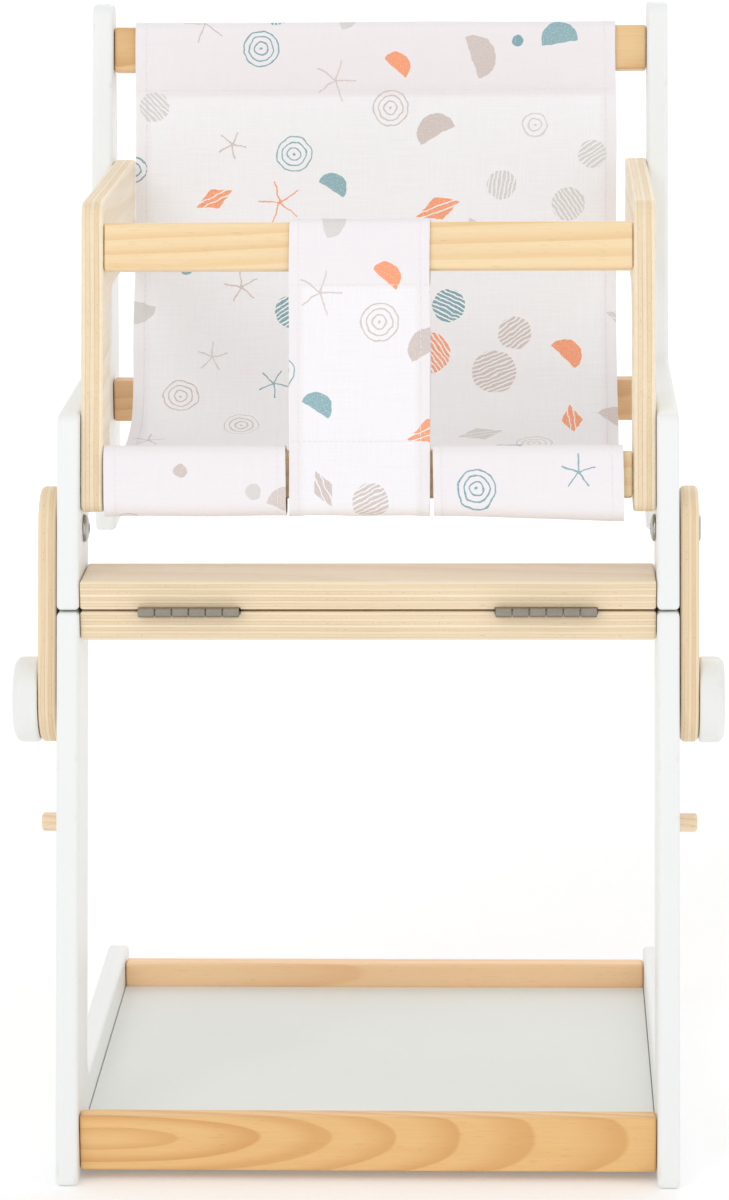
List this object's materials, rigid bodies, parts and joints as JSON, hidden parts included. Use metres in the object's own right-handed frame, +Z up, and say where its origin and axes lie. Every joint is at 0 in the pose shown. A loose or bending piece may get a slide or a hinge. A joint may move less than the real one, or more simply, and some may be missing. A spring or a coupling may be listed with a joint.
{
  "type": "doll high chair",
  "caption": "Wooden doll high chair with raked white sides, plywood armrests, a printed cloth sling seat with a crotch strap and a low tray; the chair half folds forward on hinges",
  "frame": {"origin": "on the floor, in the middle of the width over the knobs and of the depth", "axes": "+X to the right in a front view, +Y to the back of the chair, +Z up"},
  "size_m": [0.3442, 0.3228, 0.541],
  "materials": {
    "white_paint": "smooth white paint on board",
    "tray_white": "white coated panel",
    "plywood": "clear lacquer on birch plywood",
    "pine": "clear lacquer on pine",
    "hinge_nickel": "nickel plate",
    "zinc_steel": "zinc plate",
    "knob_white": "smooth white moulded plastic",
    "printed_cloth": "plain-woven cotton with a scattered print"
  },
  "bodies": {
    "stand": {"stand_side_left": "white_paint", "stand_side_right": "white_paint", "stand_top_board": "plywood", "stand_front_rail": "pine", "stand_rear_rail": "pine", "tray_board": "tray_white", "peg_left": "pine", "peg_right": "pine", "knob_insert_left": "zinc_steel", "knob_insert_right": "zinc_steel", "hinge_lower_leaf_left": "hinge_nickel", "hinge_lower_leaf_right": "hinge_nickel", "hinge_pin_left": "hinge_nickel", "hinge_pin_right": "hinge_nickel"},
    "chair": {"chair_side_left": "white_paint", "chair_side_right": "white_paint", "chair_base_board": "plywood", "armrest_left": "plywood", "armrest_right": "plywood", "safety_rail": "plywood", "seat_front_rail": "plywood", "seat_rear_rail": "plywood", "back_top_rail": "plywood", "pivot_bolt_left": "zinc_steel", "pivot_bolt_right": "zinc_steel", "cap_nut_left": "zinc_steel", "cap_nut_right": "zinc_steel", "sling_cloth": "printed_cloth", "crotch_strap": "printed_cloth", "hinge_upper_leaf_left": "hinge_nickel", "hinge_upper_leaf_right": "hinge_nickel"},
    "link_left": {"link_bar_left": "plywood"},
    "link_right": {"link_bar_right": "plywood"},
    "knob_left_set": {"knob_left": "knob_white", "knob_screw_left": "zinc_steel"},
    "knob_right_set": {"knob_right": "knob_white", "knob_screw_right": "zinc_steel"}
  },
  "joints": [
    {"name": "chair_fold", "type": "hinge", "parent": "stand", "child": "chair", "pos_m": [0, -0.09846, 0.2693], "axis": [1, 0, 0], "range_deg": [0, 180]},
    {"name": "link_left_swing", "type": "hinge", "parent": "chair", "child": "link_left", "pos_m": [-0.15, -0.06417, 0.304], "axis": [1, 0, 0], "range_deg": [-118, 90]},
    {"name": "link_right_swing", "type": "hinge", "parent": "chair", "child": "link_right", "pos_m": [0.15, -0.06417, 0.304], "axis": [1, 0, 0], "range_deg": [-118, 90]},
    {"name": "knob_left_turn", "type": "hinge", "parent": "link_left", "child": "knob_left_set", "pos_m": [-0.1596, -0.08371, 0.223], "axis": [1, 0, 0], "continuous": true},
    {"name": "knob_right_turn", "type": "hinge", "parent": "link_right", "child": "knob_right_set", "pos_m": [0.1596, -0.08371, 0.223], "axis": [1, 0, 0], "continuous": true}
  ]
}
